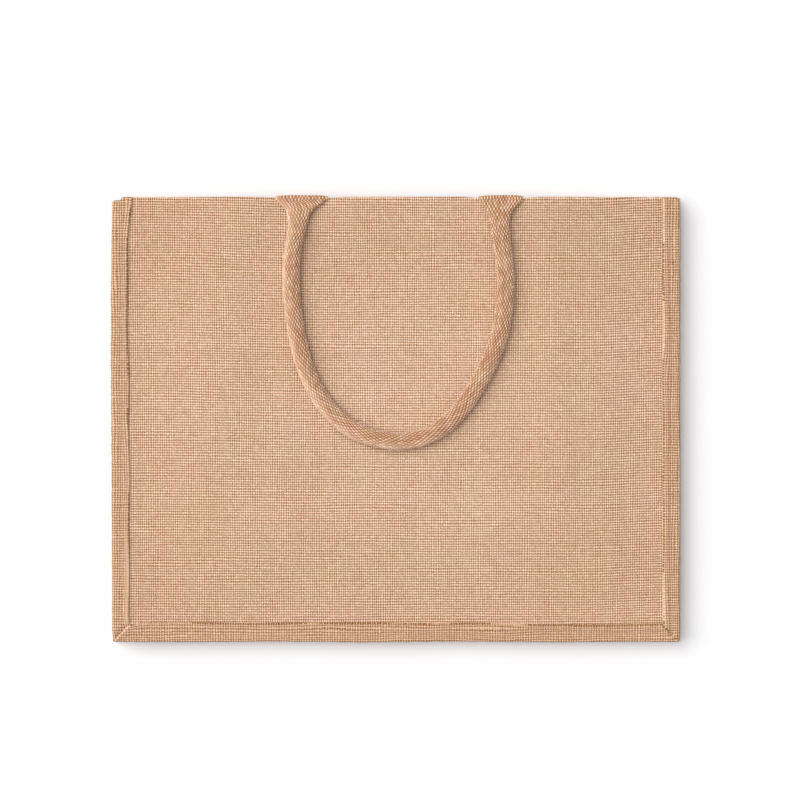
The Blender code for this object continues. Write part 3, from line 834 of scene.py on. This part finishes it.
def webbing_finish():
    """Coarse jute webbing: light beads of warp, with painted shade, darker and redder, in the
    hollows between them.
    """
    finish = Finish("jute_webbing")
    place = finish.node("ShaderNodeUVMap", {"uv_map": "cloth"}, ())
    axes = finish.node("ShaderNodeSeparateXYZ", {}, {0: place}.items())
    u, v = axes, axes.other("Y")
    s = u / (WEBBING_WIDTH / WARPS * MM)
    t = v / (ROW_PITCH * MM)
    i = s.math("FLOOR")
    f = s - i - 0.5
    sign = 1.0 - i.math("FLOORED_MODULO", 2.0) * 2.0
    cord = (1.0 - (f * 2.0) ** 2.0).math("MAXIMUM", 0.0)
    bead = cord ** 0.7 * (sign * (t * math.pi).math("SINE") * 0.5 + 0.5) ** 2.0
    row = ((t - 0.5 + (1.0 - sign) * 0.5) * 0.5 + 0.25).math("FLOOR")
    fibre = finish.noise(finish.vector(u * 3800.0 + v * 900.0, v * 700.0, 1.0), 1.0, 3.0, 0.6)
    patch = finish.noise(finish.vector(u, v, 4.0), 60.0, 2.0)
    chance = finish.chance(i, row)
    value = 0.80 + chance * 0.26 + fibre * 0.42 + patch * 0.16
    tint = finish.blend(finish.smooth(patch, -0.16, 0.16), PINK_WEB, STRAW_WEB)
    # Smooth along the selvages, and rubbed smooth next to the outer one. Up to the loop's low
    # point, the selvage and a band beside it on the tube's outer flank are kept lighter,
    # partly as real smoothness and partly as painted highlight.
    width = WEBBING_WIDTH * MM
    side = (0.5 - (u / width - 0.5).math("ABSOLUTE")) * WEBBING_WIDTH
    selvage = 1.0 - finish.smooth(side, SELVAGE * 0.8, SELVAGE * 1.2)
    in_sight = 1.0 - finish.smooth(v, ROLLS_UNDER[0] * MM, ROLLS_UNDER[1] * MM)
    past_root = finish.smooth(v, ROOT_END[0] * MM, ROOT_END[1] * MM)
    rubbed = (1.0 - finish.smooth(u, 2.0 * MM, WORN * MM)) * past_root * in_sight
    plain = selvage.math("MAXIMUM", rubbed)
    # Painted shade in the hollows between the beads.
    recess_shade = finish.smooth(bead + (chance - 0.5) * 0.10, 0.0, 0.56)
    worn_and_lit_band = (1.0 - finish.smooth(u, 2.0 * MM, 10.0 * MM)) * in_sight
    recess_shade = recess_shade + (1.0 - recess_shade) * plain.math("MAXIMUM", worn_and_lit_band * 0.7) * 0.65
    # Painted highlight: the selvage in sight and the band along the outer flank are lighter.
    value = value + worn_and_lit_band * 0.01 + selvage * in_sight * 0.06 - 0.04
    colour = finish.shaded(tint, value * (0.43 + recess_shade * 0.57))
    return finish.dress(colour, bead + fibre * 0.25, WEB_RELIEF * MM, WEB_ROUGHNESS)


webbing = webbing_finish()


def handle_rings(side, under, step):
    """The webbing from one inner end to the other, as arrays: middle, direction across,
    outward, width, height and distance along."""
    radius = HEM_FOLD + CLOTH / 2 + WEBBING_GAP + WEBBING / 2
    ends = []
    for end, (x, width) in enumerate(ROOTS):
        fold_y = float(rim_of(x)) - HEM_FOLD - CLOTH / 2
        down = spread(TAB_LENGTH, 0.6, step=step * 1.3)
        y = fold_y - down
        z = under(x + 0.0 * y, y) + CLOTH / 2 - side * (HEM_FOLD + radius)
        tab = np.stack([x + 0.0 * y, y, z], 1)
        turn = np.linspace(math.pi, 0.0, round(math.pi * radius / step))
        out = np.stack([0.0 * turn, np.sin(turn), side * np.cos(turn)], 1)
        fold_z = float(under(np.array([x]), np.array([fold_y]))[0]) + CLOTH / 2
        over = np.array([x, fold_y, fold_z - side * HEM_FOLD]) + out * radius
        out = np.vstack([np.tile([0.0, 0.0, -side], (len(tab), 1)), out])
        across = np.tile([1.0 - 2.0 * end, 0.0, 0.0], (len(out), 1))
        flat = np.full(len(out), 1.0)
        ends.append((np.vstack([tab, over]), across, out, width * flat, WEBBING * flat))
    at = spread(FUNNEL_START, line_at[-1] - FUNNEL_START, step=step)
    downs, shares, heights = zip(*FUNNEL)
    x, y = (np.interp(at, line_at, line[:, k]) for k in (0, 1))
    from_rim = np.minimum(at, line_at[-1] - at)
    # The flat end runs along the rim, and the tube's width lies square to its own line.
    turned = ramp(from_rim, *TURNING)
    level = np.where(at < line_at[-1] / 2, 1.0, -1.0) * (1.0 - turned)
    run_x, run_y = np.gradient(x), np.gradient(y)
    length = np.hypot(run_x, run_y)
    across = np.stack([-run_y / length * turned + level, run_x / length * turned, 0.0 * x], 1)
    across = across / np.linalg.norm(across, axis=1)[:, None]
    root_width = np.where(at < line_at[-1] / 2, ROOTS[0][1], ROOTS[1][1])
    share = np.interp(from_rim, downs, shares)
    width = root_width + (TUBE_WIDTH - root_width) * share
    height = np.interp(from_rim, downs, heights)
    if side > 0:
        room = WEBBING_GAP + (TUBE_GAP - WEBBING_GAP) * share
        z = front_under(x, y) + CLOTH + room + height / 2
    else:
        room = WEBBING_GAP + (TENT_GAP - WEBBING_GAP) * share
        z = tent_height(y) - room - height / 2
    out = np.tile([0.0, 0.0, side], (len(at), 1))
    middle = (np.stack([x, y, z], 1), across, out, width, height)
    parts = [ends[0], middle, tuple(part[::-1] for part in ends[1])]
    at, across, out, width, height = (np.concatenate(p) for p in zip(*parts))
    steps = np.linalg.norm(np.diff(at, axis=0), axis=1)
    return at, across, out, width, height, np.concatenate([[0.0], np.cumsum(steps)])


BACK_COLUMNS, OUTLINE_POINTS, BEAD_ROWS = 15, 721, 400
OUTLINE_POWER = (0.25, 0.70)  # nearly square where it is flat, nearly an oval in the tube
WRAP, SELVAGE_SHOWS = 0.976, 1.5  # share of the way round the tube that the webbing takes up
PROBE = 0.35  # the outline's slope is taken over this far to each side


def lay_handle(name, side, under, per_warp, step):
    """The webbing as one closed skin: its beaded face outside, its back inside."""
    middle, across, out, width, height, along = handle_rings(side, under, step)
    half_web = WEBBING_WIDTH / 2
    face_u = np.linspace(-half_web, half_web, WARPS * per_warp + 1)
    web_u = np.concatenate([face_u, np.linspace(half_web, -half_web, BACK_COLUMNS)])
    depth = np.where(np.arange(len(web_u)) < len(face_u), 0.0, WEBBING)
    theta = np.linspace(-math.pi, math.pi, OUTLINE_POINTS)
    over, up = np.sin(theta), np.cos(theta)
    rings, points = len(middle), len(web_u)
    plane_x, plane_z = np.empty((rings, points)), np.empty((rings, points))
    from_end = np.minimum(along, along[-1] - along)
    rolled = ramp(along, *ROLLS_UNDER)
    skew = SLANT * ramp(from_end, *SLANT_FROM)
    leg = ramp(from_end, *ROOT_END) * (1.0 - rolled)
    web_v = along[:, None] + skew[:, None] * web_u
    warp = (web_u + half_web) / (WEBBING_WIDTH / WARPS)
    thread = np.minimum(np.floor(warp), WARPS - 1).astype(int)
    cord = np.maximum(1.0 - (2.0 * (warp - thread) - 1.0) ** 2, 0.0) ** 0.5
    sign = 1.0 - 2.0 * (thread % 2)
    draw = np.random.default_rng(5)
    fat = draw.uniform(0.72, 1.28, (WARPS, BEAD_ROWS))
    for k in range(rings):
        # The tube's outline here, between a flat strip and an oval, and the way round it.
        roundness = (height[k] - WEBBING) / (TUBE_HEIGHT - WEBBING)
        power = OUTLINE_POWER[0] + OUTLINE_POWER[1] * roundness
        ring_x = np.sign(over) * np.abs(over) ** power * width[k] / 2
        ring_z = np.sign(up) * np.abs(up) ** power * height[k] / 2
        arc = np.concatenate([[0.0], np.cumsum(np.hypot(np.diff(ring_x), np.diff(ring_z)))])
        half = arc[-1] / 2
        scale = min(1.0, WRAP * half / half_web)
        if roundness < 0.01:
            scale = width[k] / WEBBING_WIDTH
        # The webbing's outer selvage stays in sight at the tube's outer flank.
        shift = max(0.0, half_web * scale - half / 2 + SELVAGE_SHOWS)
        offset = shift * ramp(roundness, 0.0, 0.25) * (1.0 - rolled[k])
        # Each point of the webbing finds its place on the way round, and its outward.
        want = half + web_u * scale + offset
        x, z = (np.interp(want % arc[-1], arc, ring) for ring in (ring_x, ring_z))
        ahead, behind = (want + PROBE) % arc[-1], (want - PROBE) % arc[-1]
        run_x = np.interp(ahead, arc, ring_x) - np.interp(behind, arc, ring_x)
        run_z = np.interp(ahead, arc, ring_z) - np.interp(behind, arc, ring_z)
        run = np.hypot(run_x, run_z)
        # Beads: a warp thread stands up where it passes over a weft.
        turn = web_v[k] / ROW_PITCH
        bead_row = np.floor((turn - 0.5 + (1.0 - sign) * 0.5) * 0.5 + 0.25).astype(int)
        bead = 0.5 + 0.5 * sign * np.sin(math.pi * turn)
        swollen = fat[thread, bead_row % BEAD_ROWS]
        raised = BEAD * (cord * (0.20 + 0.80 * bead**1.3) * swollen - 0.5)
        # The selvages have no beads and thin out, and so do a flat end's sides.
        rim = half_web - np.abs(web_u)
        smooth = 1.0 - ramp(rim, SELVAGE * 0.8, SELVAGE * 1.2)
        rubbed = (1.0 - ramp(web_u + half_web, 2.0, WORN)) * leg[k]
        smooth = np.maximum(smooth, rubbed)
        raised = raised + (0.12 - 0.5 * (1.0 - ramp(rim, 0.0, 0.9)) - raised) * smooth
        raised = raised - 0.95 * (web_u / half_web) ** 4 * (1.0 - ramp(roundness, 0.0, 0.3))
        lift = np.where(depth > 0.0, -depth, raised)
        plane_x[k] = x - run_z / run * lift
        plane_z[k] = z + run_x / run * lift

    def place(column, row):
        ring = column % points
        at = middle[row] + across[row] * plane_x[row, ring][:, None]
        at = at + out[row] * plane_z[row, ring][:, None]
        u = np.where(column < points, web_u[ring], half_web + 1.0)
        z = np.maximum(at[:, 2], 0.0)  # pressed flat where it lies on the ground
        return at[:, 0], at[:, 1], z, u + half_web, web_v[row, ring]

    handle = new_cloth(f"{name}_webbing", points, rings - 1, place, closed=True)
    handle.data.materials.append(webbing)
    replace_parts(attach(handle, "root"), name)


lay_handle("front_handle", 1.0, front_under, 3, 0.7)
lay_handle("back_handle", -1.0, back_under, 2, 1.0)
